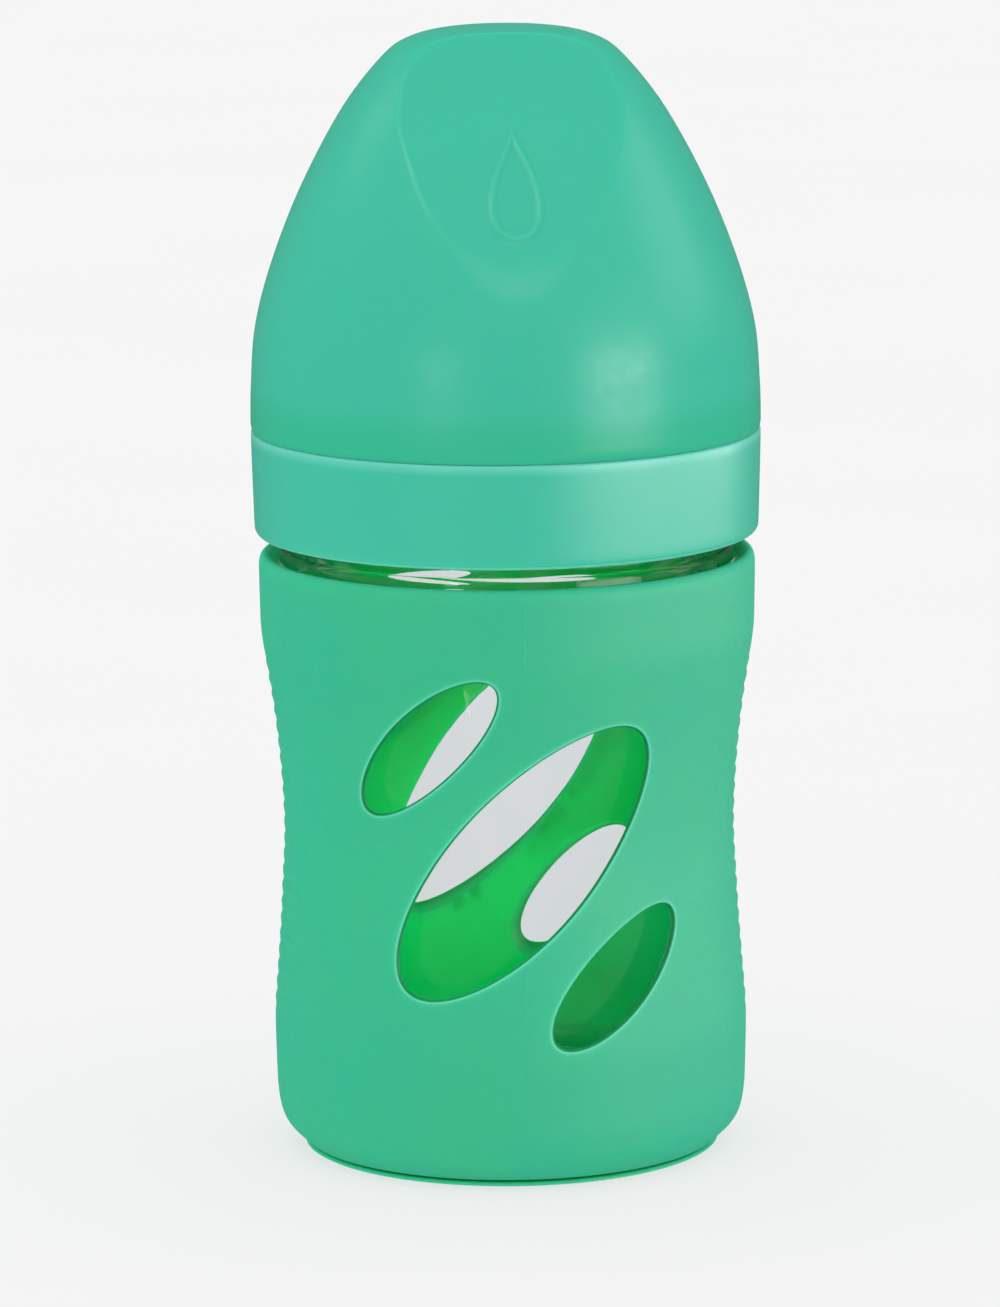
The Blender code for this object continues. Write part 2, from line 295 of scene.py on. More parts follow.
def thread(start, offset):
    """Makes a function that gives a one-turn helical ridge's height over its wall from height and angle.

    start is in turns from +X. offset lifts the ridge, in turns of the thread.
    """
    def ridge(z, angles):
        # the CAD counts turns anticlockwise from +X, a quarter turn after the front
        turns = (angles / TURN - 0.25 - start) % 1.0
        middle = THREAD_MIDDLE + THREAD_PITCH * (turns + start + offset)
        side = (THREAD_FOOT / 2 - np.abs(z - middle)) / (THREAD_FOOT / 2 - THREAD_CREST / 2)
        lead = ease(0, 0.1, np.minimum(turns, 1 - turns))
        return THREAD_HEIGHT * lead * ease(0, 1, side)
    return ridge


# ---------------------------------------------------------------- materials

def material(name, colour, roughness, **values):
    """A Principled material, and its node tree and shader, with constants set straight on the shader."""
    made = bpy.data.materials.new(name)
    made.use_nodes = True
    tree = made.node_tree
    shader = tree.nodes["Principled BSDF"]
    shader.inputs["Base Color"].default_value = (*colour, 1)
    shader.inputs["Roughness"].default_value = roughness
    for socket, value in values.items():
        shader.inputs[socket.replace("_", " ")].default_value = value
    return made, tree, shader


def noise(tree, scale, detail=2.0, stretch=(1, 1, 1)):
    """A noise in the object's own space. scale is in features for each metre."""
    where = tree.nodes.new("ShaderNodeTexCoord")
    mapping = tree.nodes.new("ShaderNodeMapping")
    mapping.inputs["Scale"].default_value = stretch
    texture = tree.nodes.new("ShaderNodeTexNoise")
    texture.inputs["Scale"].default_value = scale
    texture.inputs["Detail"].default_value = detail
    tree.links.new(where.outputs["Object"], mapping.inputs["Vector"])
    tree.links.new(mapping.outputs["Vector"], texture.inputs["Vector"])
    return texture.outputs["Fac"]


def ranged(tree, value, low, high, out_low, out_high):
    """The value carried from one range to another, and held at its ends."""
    node = tree.nodes.new("ShaderNodeMapRange")
    for socket, number in zip(("From Min", "From Max", "To Min", "To Max"), (low, high, out_low, out_high)):
        node.inputs[socket].default_value = number
    tree.links.new(value, node.inputs["Value"])
    return node.outputs["Result"]


def mixed(tree, share, first, second):
    """A colour between two, each a colour or a socket, by a socket's share."""
    node = tree.nodes.new("ShaderNodeMix")
    node.data_type = "RGBA"
    tree.links.new(share, node.inputs["Factor"])
    for socket, colour in ((node.inputs[6], first), (node.inputs[7], second)):
        if isinstance(colour, tuple):
            socket.default_value = (*colour, 1)
        else:
            tree.links.new(colour, socket)
    return node.outputs[2]


def mark(tree, name):
    """The value of a mesh's own mark."""
    node = tree.nodes.new("ShaderNodeAttribute")
    node.attribute_name = name
    return node.outputs["Fac"]


def bumped(tree, shader, height, strength, distance):
    """Fine relief from a height socket. distance is in millimetres."""
    node = tree.nodes.new("ShaderNodeBump")
    node.inputs["Strength"].default_value = strength
    node.inputs["Distance"].default_value = distance * MM
    tree.links.new(height, node.inputs["Height"])
    tree.links.new(node.outputs["Normal"], shader.inputs["Normal"])


def sleeve_silicone():
    """Matt green silicone that light shines through, with painted glow and painted shade in its colour."""
    made, tree, shader = material(
        "sleeve_silicone", (0.055, 0.45, 0.25), 0.55, Subsurface_Weight=0.85, Subsurface_Scale=0.004,
        Subsurface_Radius=(0.08, 1.0, 0.45), Specular_IOR_Level=0.4)
    clouds = ranged(tree, noise(tree, 55), 0.35, 0.65, 0, 1)
    body = mixed(tree, clouds, (0.040, 0.545, 0.300), (0.034, 0.535, 0.318))
    # painted glow: the lips round the windows are painted lighter, as if light came through them
    lit = mixed(tree, mark(tree, "thin"), body, (0.12, 0.68, 0.44))
    # painted glow: the inner faces are painted a brighter, saturated green for the light gathered inside
    within = mixed(tree, mark(tree, "within"), lit, (0.008, 0.70, 0.33))
    # painted shade: the windows' walls and the groove round the foot are painted dark green
    deep = mixed(tree, mark(tree, "deep"), within, (0.004, 0.22, 0.07))
    tree.links.new(deep, shader.inputs["Base Color"])
    tree.links.new(ranged(tree, noise(tree, 900), 0.3, 0.7, 0.48, 0.62), shader.inputs["Roughness"])
    bumped(tree, shader, noise(tree, 4200, 3), 0.25, 0.03)
    return made


def moulded_plastic(name, light, dark, roughness, scatter):
    """Satin translucent plastic: faint flow clouds and a fine mould texture.

    Painted highlight lightens its marked edges; painted shade deepens it where one wall stands behind
    another.
    """
    made, tree, shader = material(
        name, light, roughness, Subsurface_Weight=0.8, Subsurface_Scale=scatter,
        Subsurface_Radius=(0.15, 1.0, 0.6), Specular_IOR_Level=0.5)
    clouds = ranged(tree, noise(tree, 40, 3, (1, 1, 0.4)), 0.3, 0.7, 0, 1)
    # painted shade: a deeper green where the ring's upstand stands behind the cap's wall
    painted_foot_band = mixed(tree, mark(tree, "deep"), mixed(tree, clouds, light, dark), (0.034, 0.545, 0.33))
    # painted highlight: a lighter green on the ring's marked edges
    tree.links.new(mixed(tree, mark(tree, "thin"), painted_foot_band, (0.15, 0.70, 0.53)), shader.inputs["Base Color"])
    shine = ranged(tree, noise(tree, 700, 3), 0.3, 0.7, roughness - 0.04, roughness + 0.05)
    tree.links.new(shine, shader.inputs["Roughness"])
    bumped(tree, shader, noise(tree, 2600, 2), 0.05, 0.02)
    return made


def lets_lamps_through(tree, shader, colour):
    """Mixes in a Transparent shader for rays from lamps, so that they reach what is behind the glass."""
    output = tree.nodes["Material Output"]
    path = tree.nodes.new("ShaderNodeLightPath")
    clear = tree.nodes.new("ShaderNodeBsdfTransparent")
    clear.inputs["Color"].default_value = (*colour, 1)
    mix = tree.nodes.new("ShaderNodeMixShader")
    tree.links.new(path.outputs["Is Shadow Ray"], mix.inputs["Fac"])
    tree.links.new(shader.outputs["BSDF"], mix.inputs[1])
    tree.links.new(clear.outputs["BSDF"], mix.inputs[2])
    tree.links.new(mix.outputs["Shader"], output.inputs["Surface"])


def bottle_glass():
    """Clear borosilicate glass with a faint waviness."""
    made, tree, shader = material(
        "bottle_glass", (0.86, 0.877, 0.886), 0.0, Transmission_Weight=1.0, IOR=1.5,
        Specular_Tint=(0.3, 0.3, 0.3, 1))
    bumped(tree, shader, noise(tree, 60, 1), 0.12, 0.3)
    lets_lamps_through(tree, shader, (0.93, 0.95, 0.94))
    return made


def teat_silicone():
    """Soft clear silicone, slightly milky."""
    made, tree, shader = material(
        "teat_silicone", (0.93, 0.92, 0.88), 0.32, Subsurface_Weight=0.8, Subsurface_Scale=0.006,
        Subsurface_Radius=(1.0, 0.9, 0.8), Transmission_Weight=0.2, IOR=1.41)
    milk = ranged(tree, noise(tree, 120, 3), 0.3, 0.7, 0, 1)
    tree.links.new(mixed(tree, milk, (0.95, 0.94, 0.91), (0.88, 0.87, 0.83)), shader.inputs["Base Color"])
    tree.links.new(ranged(tree, noise(tree, 1500, 2), 0.3, 0.7, 0.29, 0.36), shader.inputs["Roughness"])
    bumped(tree, shader, noise(tree, 3000, 2), 0.02, 0.02)
    return made


def grid_plastic():
    """Natural polypropylene."""
    made, tree, shader = material(
        "grid_plastic", (0.86, 0.89, 0.87), 0.4, Subsurface_Weight=0.5, Subsurface_Scale=0.003,
        Subsurface_Radius=(1.0, 1.0, 1.0), Transmission_Weight=0.2, IOR=1.49)
    cloud = ranged(tree, noise(tree, 150, 3), 0.3, 0.7, 0, 1)
    tree.links.new(mixed(tree, cloud, (0.88, 0.91, 0.89), (0.80, 0.85, 0.82)), shader.inputs["Base Color"])
    tree.links.new(ranged(tree, noise(tree, 1200, 2), 0.3, 0.7, 0.36, 0.46), shader.inputs["Roughness"])
    bumped(tree, shader, noise(tree, 2600, 2), 0.15, 0.02)
    return made


def printed_ink():
    """Fired white enamel of the scale."""
    made, tree, shader = material("scale_enamel", (0.82, 0.84, 0.84), 0.5)
    patchy = ranged(tree, noise(tree, 2500, 3), 0.3, 0.7, 0, 1)
    tree.links.new(mixed(tree, patchy, (0.84, 0.86, 0.86), (0.72, 0.75, 0.75)), shader.inputs["Base Color"])
    bumped(tree, shader, noise(tree, 6000, 2), 0.2, 0.02)
    return made


def studio_floor():
    """Plain pale board."""
    made, tree, shader = material("studio_floor", (0.25, 0.25, 0.25), 0.6, Specular_IOR_Level=0.0)
    tree.links.new(mixed(tree, noise(tree, 8, 3), (0.252, 0.252, 0.252), (0.248, 0.248, 0.248)),
                   shader.inputs["Base Color"])
    bumped(tree, shader, noise(tree, 900, 3), 0.05, 0.02)
    return made


# ---------------------------------------------------------------- sleeve

def glass_side(heights):
    """Outer radius of the glass wall at these heights, up to the shoulder."""
    curve = smooth([(WAIST_RADIUS, 20.0), (WAIST_RADIUS, WAIST_TOP), (29.4, 53.0), (30.2, 61.0),
                    (SHOULDER_RADIUS, SHOULDER_BOTTOM), (SHOULDER_RADIUS, 79.0)])
    return np.minimum(radius_at(curve, heights), SHOULDER_RADIUS)


def window_loops():
    """(middle x, middle y, half length, half width, slope) of the six windows, unrolled.

    The rear ones mirror the front ones, so they lie past half way round and tilt the other way. They sit
    slightly higher.
    """
    half_way = math.pi * WINDOW_RADIUS
    found = []
    for across, height, half_length, half_width, tilt in WINDOWS:
        slope = math.radians(tilt)
        found.append((across, height, half_length, half_width, slope))
        found.append((half_way - across, height + REAR_LIFT, half_length, half_width, math.pi - slope))
    return found


def oval(window, outwards, count):
    """Points of a window's edge moved this far outwards, for one distance or one for each point."""
    x, y, a, b, slope = window
    t = even(count)
    along, over = a * np.cos(t), b * np.sin(t)
    size = np.hypot(b * np.cos(t), a * np.sin(t))
    along = along + outwards * b * np.cos(t) / size
    over = over + outwards * a * np.sin(t) / size
    edge_x = x + along * math.cos(slope) - over * math.sin(slope)
    edge_y = y + along * math.sin(slope) + over * math.cos(slope)
    return edge_x, edge_y


def widened(window, margin):
    """The window with its half length and half width larger by a margin."""
    x, y, half_length, half_width, slope = window
    return x, y, half_length + margin, half_width + margin, slope


def in_oval(window, x, y, margin):
    """True for points inside the window widened by a margin."""
    mx, my, a, b, slope = window
    along = (x - mx) * math.cos(slope) + (y - my) * math.sin(slope)
    over = (y - my) * math.cos(slope) - (x - mx) * math.sin(slope)
    return (along / (a + margin)) ** 2 + (over / (b + margin)) ** 2 < 1


def outer_radius(x, z):
    """Radius of the sleeve's outside at unrolled points, with the grip ribs and the mould's parting lines."""
    profile = radius_at(smooth(BODY_SIDE), z)
    angle = x / WINDOW_RADIUS
    from_side = np.abs(np.degrees(np.arccos(np.clip(np.abs(np.sin(angle)), 0, 1))))
    zone = (1 - ease(9, 20, from_side)) * ease(RIB_BOTTOM, RIB_BOTTOM + RIB_FADE, z)
    zone = zone * (1 - ease(RIB_TOP - RIB_FADE, RIB_TOP, z))
    wave = TURN * z / RIB_PITCH
    ribs = RIB_DEPTH * (np.cos(wave) + 0.3 * np.sin(2 * wave) - 0.4) * zone
    half_angle = angle / 2 + np.where(np.cos(angle) > 0, 0, math.pi / 2)
    from_seam = np.abs(np.sin(half_angle)) * 2 * WINDOW_RADIUS
    seam = SEAM_HEIGHT * (1 - ease(0.0, SEAM_HALF_WIDTH, from_seam))
    return profile + ribs + seam


def inner_radius(x, z):
    """Radius of the sleeve's inside at unrolled points."""
    return glass_side(z) + SLEEVE_GAP


def wrap(x, z, radii):
    """Unrolled points bent round the axis."""
    return ring_points(radii, z, x / WINDOW_RADIUS)


def sleeve_columns(step):
    """Unrolled places of the columns over one turn from the left side, closer at the parting lines."""
    around = TURN * WINDOW_RADIUS
    count = 2 * round(around / step / 2)
    columns = {round(-around / 4 + around * i / count, 6) for i in range(count)}
    for seam in (0.0, around / 2):
        columns |= {round(seam + side * d, 6) for side in (-1, 1) for d in (0.0, 0.08, 0.16, 0.3)}
    return sorted(columns)


def sleeve_skin(draft, columns, heights, openings, radius, every=1, **marks):
    """Meshes the unrolled body around its windows, with every so many columns, and returns its end loops.

    openings holds for each window its edge's unrolled x and z, the numbers of those points, the window as
    large as that edge, and the margin to keep free of points around it. radius makes radii from x and z.
    """
    x, z = np.meshgrid([*columns, columns[0] + TURN * WINDOW_RADIUS], heights)
    kept = np.ones(x.shape, bool)
    kept[1:-1] = np.arange(len(columns) + 1) % every == 0
    for _, _, _, window, margin in openings:
        kept &= ~in_oval(window, x, z, margin)
    kept[:, -1] = kept[:, 0]
    bent = wrap(x, z, radius(x, z))
    numbers = np.zeros(x.shape, int)
    own = kept.copy()
    own[:, -1] = False
    numbers[own] = draft.add(bent[own], **marks)
    numbers[:, -1] = numbers[:, 0]

    flat = list(zip(x[kept], z[kept]))
    edges = [(edge_x, edge_z, loop) for edge_x, edge_z, loop, _, _ in openings]
    draft.fill(flat, list(numbers[kept]), edges)
    return numbers[0, :-1].tolist(), numbers[-1, :-1].tolist()


def silicone_sleeve():
    """Soft sleeve with six flush oval windows, side grips, a rolled rim and a lipped foot."""
    draft = Draft()
    columns = sleeve_columns(COLUMN_STEP)
    angles = np.array(columns) / WINDOW_RADIUS
    heights = np.linspace(BODY_BOTTOM, BODY_TOP, OUTER_ROWS)
    inner_heights = np.linspace(INNER_BOTTOM, BODY_TOP, INNER_ROWS)

    # (outwards, depth, painted edge light, painted shade) from the skin over the lip
    lip = ((0.85, 0.0, 0.0, 0.0), (0.5, -0.005, 0.15, 0.0), (0.36, -0.015, 0.55, 0.0),
           (0.22, -0.02, 1.0, 0.0), (0.12, 0.01, 0.9, 0.0), (0.06, 0.06, 0.2, 0.6),
           (0.0, 0.13, 0.0, 1.0), (-0.08, 0.24, 0.0, 1.0), (-LIP_OVERHANG, WINDOW_LIP, 0.0, 1.0))
    outside, inside = [], []
    for window in window_loops():
        count = LARGE_WINDOW_POINTS if window[2] > 20 else SMALL_WINDOW_POINTS
        loops = []
        # the lip is painted lighter, a painted glow, and its wall painted dark, a painted shade
        for outwards, depth, thin, deep in lip:
            x, z = oval(window, outwards, count)
            loops.append((x, z, draft.add(wrap(x, z, outer_radius(x, z) - depth), thin=thin, deep=deep)))
        x, z = oval(window, 0.0, count)
        lip_radius = outer_radius(x, z) - WINDOW_LIP
        # the flare behind the lip fades from painted shade into the inner faces' painted glow
        for share, deep in ((0.5, 0.3), (0.85, 0.1), (1.0, 0.0)):
            depth = share * (lip_radius - inner_radius(x, z))
            x, z = oval(window, WINDOW_FLARE * depth - LIP_OVERHANG, count)
            loops.append((x, z, draft.add(wrap(x, z, lip_radius - depth), deep=deep, within=1.0)))
        for (_, _, lower), (_, _, upper) in zip(loops, loops[1:]):
            draft.strip(lower, upper)
        outside.append((*loops[0], widened(window, lip[0][0]), OUTER_MARGIN))
        inside.append((*loops[-1], window, INNER_MARGIN))

    bottom, top = sleeve_skin(draft, columns, heights, outside, outer_radius)
    # the inner skin carries the painted glow of the inner faces
    inner_bottom, inner_top = sleeve_skin(draft, columns, inner_heights, inside, inner_radius, 3, within=1.0)

    rim = smooth([(33.25, BODY_TOP + 0.4), (33.2, 79.9), (33.05, 80.4), (32.8, 80.75), (32.5, RIM_TOP),
                  (32.1, RIM_TOP - 0.03), (31.6, 80.65), (31.2, 80.3), (31.03, 79.9), (31.0, 79.5)], 2)
    # the rim's inner faces carry the painted glow of the inner faces
    loops = [draft.add(ring_points(r, z, angles), within=float(r < 31.6)) for r, z in rim]
    for lower, upper in zip([top, *loops], [*loops, inner_top]):
        draft.strip(lower, upper)

    corner = (WAIST_RADIUS - BASE_CORNER, SLEEVE_FLOOR + BASE_CORNER + SLEEVE_GAP)
    seat = arc(corner, BASE_CORNER + SLEEVE_GAP, 0, -90, 10)
    seat += [(FOOT_OPENING + 0.5, SLEEVE_FLOOR), (FOOT_OPENING + 0.15, SLEEVE_FLOOR - 0.15),
             (FOOT_OPENING, SLEEVE_FLOOR - 0.5), (FOOT_OPENING, 0.5), (FOOT_OPENING + 0.15, 0.15),
             (FOOT_OPENING + 0.5, 0.0), (24.5, 0.0), (27.4, 0.0), (27.75, 0.06), (27.98, 0.2), (28.0, 0.4),
             (27.85, 0.54)]
    # the groove round the foot is painted dark, a painted shade
    groove = [(27.35, 0.62), (27.2, 0.7), (27.25, 0.82), (27.8, 0.9)]
    seat += groove + [(28.15, 1.0)]
    seat += smooth([(28.45, 1.25), (29.2, 2.0), (30.2, 3.0), (30.85, 4.0), (31.25, 5.1), (31.5, 6.4)], 3)
    loops = []
    for r, z in seat:
        # the seat's inner faces carry the painted glow of the inner faces
        within = float(z > SLEEVE_FLOOR - 0.01 and r < 29.4)
        loops.append(draft.add(ring_points(r, z, angles), within=within, deep=float((r, z) in groove)))
    for lower, upper in zip([inner_bottom, *loops], [*loops, bottom]):
        draft.strip(lower, upper)
    return draft.object("sleeve_body", 50)


# ---------------------------------------------------------------- glass

def glass_outline():
    """Outline from the punt's middle over the outside and the rim to the floor's middle."""
    corner = (WAIST_RADIUS - BASE_CORNER, GLASS_BASE + BASE_CORNER)
    punt = smooth([(0.0, GLASS_BASE + 2.1), (9.0, GLASS_BASE + 1.95), (16.0, GLASS_BASE + 1.5),
                   (19.3, GLASS_BASE + 0.75), (21.0, GLASS_BASE)], 5)
    outside = arc(corner, BASE_CORNER, -90, 0, 12)
    levels = np.linspace(corner[1] + 1.0, 76.5, 46)
    outside += list(zip(map(float, glass_side(levels)), map(float, levels)))
    shoulder = smooth([(SHOULDER_RADIUS, 77.2), (30.8, 78.5), (30.7, 79.8), (30.5, 80.8)], 4)
    shoulder += arc((29.26, 81.01), 1.2, 14, 58, 10)
    rim_middle = (NECK_RADIUS - GLASS_WALL / 2, GLASS_RIM - GLASS_WALL / 2)
    neck = line((NECK_RADIUS, 83.6), (NECK_RADIUS, rim_middle[1]), THREAD_ROWS)
    rim = arc(rim_middle, GLASS_WALL / 2, 0, 180, 12)
    bore = NECK_RADIUS - GLASS_WALL
    inner_neck = smooth([(bore, GLASS_RIM - 3.0), (bore, 86.0), (bore - 0.1, 83.5), (bore + 0.15, 81.0),
                         (SHOULDER_RADIUS - GLASS_WALL, 77.5)], 6)
    inner_levels = np.linspace(76.0, GLASS_FLOOR + 6.0, 40)
    inside = list(zip(map(float, glass_side(inner_levels) - GLASS_WALL), map(float, inner_levels)))
    heel = arc((WAIST_RADIUS - GLASS_WALL - GLASS_HEEL, GLASS_FLOOR + GLASS_HEEL), GLASS_HEEL, 0, -90, 10)
    floor = [(15.0, GLASS_FLOOR + 0.1), (8.0, GLASS_FLOOR + 0.32), (0.0, GLASS_FLOOR + 0.4)]
    return punt[:-1] + outside + shoulder + neck + rim + inner_neck + inside + heel + floor


def glass_bottle():
    """Wide-neck bottle with a rounded shoulder, a one-turn thread and a punt."""
    draft = Draft()
    ridge = thread(0.0, 0.0)

    def shape(r, z, angles):
        """The neck's wall, with the thread on it."""
        return r + ridge(z, angles) if abs(r - NECK_RADIUS) < 1e-6 and z > 83 else r
    turned(draft, glass_outline(), even(ROUND_COLUMNS), shape, joined=False)
    return draft.object("glass_body", 60)


INK_BACK, INK_FACE = 0.01, 0.055  # heights over the glass
TICK_START = -6.0
TICK_HALF_WIDTH = 0.22
LONG_TICK, SHORT_TICK = 9.0, 5.0
TICK_STEPS = 8
NUMBER_START = 4.2
NUMBER_SIZE = 4.6


def inside_volume(level):
    """Millilitres in the glass up to a level."""
    steps = np.linspace(GLASS_FLOOR, level, 200)
    radii = glass_side(steps) - GLASS_WALL
    heel = np.clip(GLASS_FLOOR + GLASS_HEEL - steps, 0, GLASS_HEEL)
    radii = radii - GLASS_HEEL + np.sqrt(GLASS_HEEL ** 2 - heel ** 2)
    return float(np.mean(math.pi * radii ** 2)) * (level - GLASS_FLOOR) / 1000


def print_on_glass(name, shapes):
    """Flat outlines (x from the scale's middle, z) as a fine film of enamel on the glass's right side."""
    draft = Draft()
    for points, faces in shapes:
        count = len(points)
        x, z = np.array(points).T
        for lift in (INK_BACK, INK_FACE):
            draft.add(ring_points(glass_side(z) + lift, z, math.pi / 2 + x / WAIST_RADIUS))
        base = len(draft.points) - 2 * count
        sides = {}
        for face in faces:
            draft.faces.append(tuple(base + count + i for i in face))
            draft.faces.append(tuple(base + i for i in reversed(face)))
            for a, b in zip(face, (*face[1:], face[0])):
                sides[(a, b)] = None
        for a, b in sides:
            if (b, a) not in sides:
                draft.faces.append((base + a, base + b, base + count + b, base + count + a))
    return draft.object(name)


def number_shape(text, size, x, z):
    """A number as flat points and faces."""
    curve = bpy.data.curves.new("number", "FONT")
    curve.body = text
    curve.size = size
    curve.align_x = "LEFT"
    curve.align_y = "CENTER"
    curve.resolution_u = 4
    letters = bpy.data.objects.new("number", curve)
    bpy.context.scene.collection.objects.link(letters)
    bpy.context.view_layer.update()
    data = letters.to_mesh()
    points = [(v.co.x + x, v.co.y + z) for v in data.vertices]
    faces = [tuple(p.vertices) for p in data.polygons]
    letters.to_mesh_clear()
    bpy.data.objects.remove(letters)
    bpy.data.curves.remove(curve)
    return points, faces


def millilitre_scale():
    """Ticks each 10 ml at their true levels, longer and numbered each 30 ml."""
    shapes = []
    for amount in range(20, 160, 10):
        low, high = GLASS_FLOOR, 80.0
        for _ in range(30):
            middle = (low + high) / 2
            low, high = (middle, high) if inside_volume(middle) < amount else (low, middle)
        numbered = amount % 30 == 0
        length = LONG_TICK if numbered else SHORT_TICK
        steps = [TICK_START + length * i / TICK_STEPS for i in range(TICK_STEPS + 1)]
        points = [(x, low + side * TICK_HALF_WIDTH) for side in (-1, 1) for x in steps]
        above = TICK_STEPS + 1
        shapes.append((points, [(i, i + 1, i + 1 + above, i + above) for i in range(TICK_STEPS)]))
        if numbered:
            shapes.append(number_shape(str(amount), NUMBER_SIZE, NUMBER_START, low))
    return print_on_glass("glass_scale", shapes)


# ---------------------------------------------------------------- ring, grid and teat

def screw_ring():
    """Ring with an inner thread, a web for the teat and an upstand for the cap."""
    draft = Draft()
    inner = UPSTAND_RADIUS - UPSTAND_WALL
    skirt = [(RING_BORE, RING_BOTTOM + 0.35), (RING_BORE + 0.1, RING_BOTTOM + 0.1),
             (RING_BORE + 0.35, RING_BOTTOM)]
    skirt += smooth([(32.75, RING_BOTTOM), (33.25, RING_BOTTOM + 0.12), (33.6, RING_BOTTOM + 0.5),
                     (33.74, RING_BOTTOM + 1.2), (33.84, 88.0), (33.97, 92.5),
                     (RING_RADIUS, RING_TOP - 1.2)], 5)
    top_edge = arc((RING_RADIUS - 0.35, LEDGE - 0.35), 0.35, 0, 90)
    bottom_edge = [p for p in skirt if p[0] > 33.0 and p[1] < RING_BOTTOM + 0.45]
    skirt += top_edge
    upstand = [(UPSTAND_RADIUS + 0.2, LEDGE), (UPSTAND_RADIUS + 0.05, LEDGE + 0.05),
               (UPSTAND_RADIUS, LEDGE + 0.2)]
    upstand += line((UPSTAND_RADIUS, RING_TOP + 0.5), (UPSTAND_RADIUS, UPSTAND_TOP - 0.4), 0.5)
    upstand += arc((UPSTAND_RADIUS - 0.4, UPSTAND_TOP - 0.4), 0.4, 0, 90)
    upstand += arc((inner + 0.4, UPSTAND_TOP - 0.4), 0.4, 90, 180)
    upstand += [(inner, RING_TOP + 0.4), (inner - 0.12, RING_TOP + 0.12), (inner - 0.4, RING_TOP)]
    web = [(WEB_HOLE + 0.5, RING_TOP), *arc((WEB_HOLE + 0.3, RING_TOP - 0.3), 0.3, 90, 180, 4)]
    web += [*arc((WEB_HOLE + 0.3, WEB_UNDERSIDE + 0.3), 0.3, 180, 270, 4), (WEB_HOLE + 2.0, WEB_UNDERSIDE)]
    web += [(RING_BORE - 0.5, WEB_UNDERSIDE), (RING_BORE - 0.1, WEB_UNDERSIDE - 0.1)]
    bore = line((RING_BORE, WEB_UNDERSIDE - 0.5), (RING_BORE, RING_BOTTOM + 0.5), THREAD_ROWS)
    ridge = thread(0.25, -0.5)

    def shape(r, z, angles):
        """The bore's wall, with the thread on it."""
        return r - ridge(z, angles) if abs(r - RING_BORE) < 1e-6 and z > RING_BOTTOM + 0.4 else r
    # the ring's top and bottom edges get a painted highlight
    turned(draft, skirt + upstand + web + bore, even(ROUND_COLUMNS), shape, thin=top_edge + bottom_edge)
    return draft.object("ring_body", 50)


GRID_RADIUS = 26.7
GRID_FLANGE_RADIUS = 29.4
GRID_WALL = 1.2
GRID_HOLE = 3.6
GRID_PITCH = 4.8
GRID_BORDER = 2.7


def square_loop(x, y, outwards):
    """A square hole's edge with rounded corners, moved outwards."""
    half, round_corner = GRID_HOLE / 2 + outwards, 0.45 + outwards
    loop = []
    for quarter in range(4):
        turn = quarter * math.pi / 2
        cx, cy = half - round_corner, half - round_corner
        for i in range(4):
            a = i * math.pi / 6
            px, py = cx + round_corner * math.cos(a), cy + round_corner * math.sin(a)
            loop.append((x + px * math.cos(turn) - py * math.sin(turn),
                         y + px * math.sin(turn) + py * math.cos(turn)))
    return loop


def mixing_grid():
    """Shallow cup with square holes, hung in the neck by its flange."""
    draft = Draft()
    top, under = GRID_TOP, GRID_TOP - 0.8
    plate_edge = GRID_RADIUS - 2.6
    reach = int(GRID_RADIUS / GRID_PITCH) + 1
    places = [i * GRID_PITCH for i in range(-reach, reach + 1)]
    spots = [(x, y) for x in places for y in places
             if math.hypot(abs(x) + GRID_HOLE / 2, abs(y) + GRID_HOLE / 2) < GRID_RADIUS - GRID_BORDER]
    angles = even(144)
    steps = ((0.25, 0.0), (0.07, 0.04), (0.0, 0.2), (0.0, GRID_WALL - 0.2), (0.07, GRID_WALL - 0.04),
             (0.25, GRID_WALL))
    hole_loops = []
    for x, y in spots:
        loops = []
        for outwards, up in steps:
            loops.append(draft.add([(px, py, GRID_FLOOR + up) for px, py in square_loop(x, y, outwards)]))
        for lower, upper in zip(loops, loops[1:]):
            draft.strip(lower, upper)
        hole_loops.append(loops)
    rims = []
    for side, z in ((0, GRID_FLOOR), (-1, GRID_FLOOR + GRID_WALL)):
        rim = draft.add(ring_points(plate_edge, z, angles))
        rims.append(rim)
        edges = [(*zip(*(draft.points[n][:2] for n in loops[side])), loops[side]) for loops in hole_loops]
        draft.fill([draft.points[n][:2] for n in rim], rim, edges)
    outside = [(GRID_RADIUS - 1.2, GRID_FLOOR), *arc((GRID_RADIUS - 0.8, GRID_FLOOR + 0.8), 0.8, -90, 0)]
    outside += [(GRID_RADIUS, under - 0.3), (GRID_RADIUS + 0.1, under - 0.1), (GRID_RADIUS + 0.3, under)]
    outside += [(GRID_FLANGE_RADIUS - 0.3, under)]
    outside += arc((GRID_FLANGE_RADIUS - 0.3, top - 0.4), 0.3, -60, 60, 4)
    outside += [(GRID_FLANGE_RADIUS - 0.35, top), (GRID_RADIUS - 0.7, top), (GRID_RADIUS - 1.0, top - 0.12)]
    outside += [(GRID_RADIUS - 1.15, top - 0.5), (GRID_RADIUS - 1.25, GRID_FLOOR + 2.0),
                (GRID_RADIUS - 1.6, GRID_FLOOR + 1.4), (GRID_RADIUS - 2.1, GRID_FLOOR + GRID_WALL)]
    loops = [draft.add(ring_points(r, z, angles)) for r, z in outside]
    for lower, upper in zip([rims[0], *loops], [*loops, rims[1]]):
        draft.strip(lower, upper)
    return draft.object("grid_body", 50)


TEAT_FLANGE_RADIUS = 30.8
TEAT_FLANGE = 1.9
TEAT_NECK = 23.6
TEAT_WALL = 1.9
FEED_HOLE = 0.45
TEAT_SIDE = ((25.0, 98.9), (24.0, 100.5), (21.4, 107.0), (16.6, 114.0), (11.4, 119.0), (7.9, 123.5),
             (7.0, 128.0), (7.6, 134.0), (6.6, 139.4), (3.6, 142.4), (FEED_HOLE, 143.2))


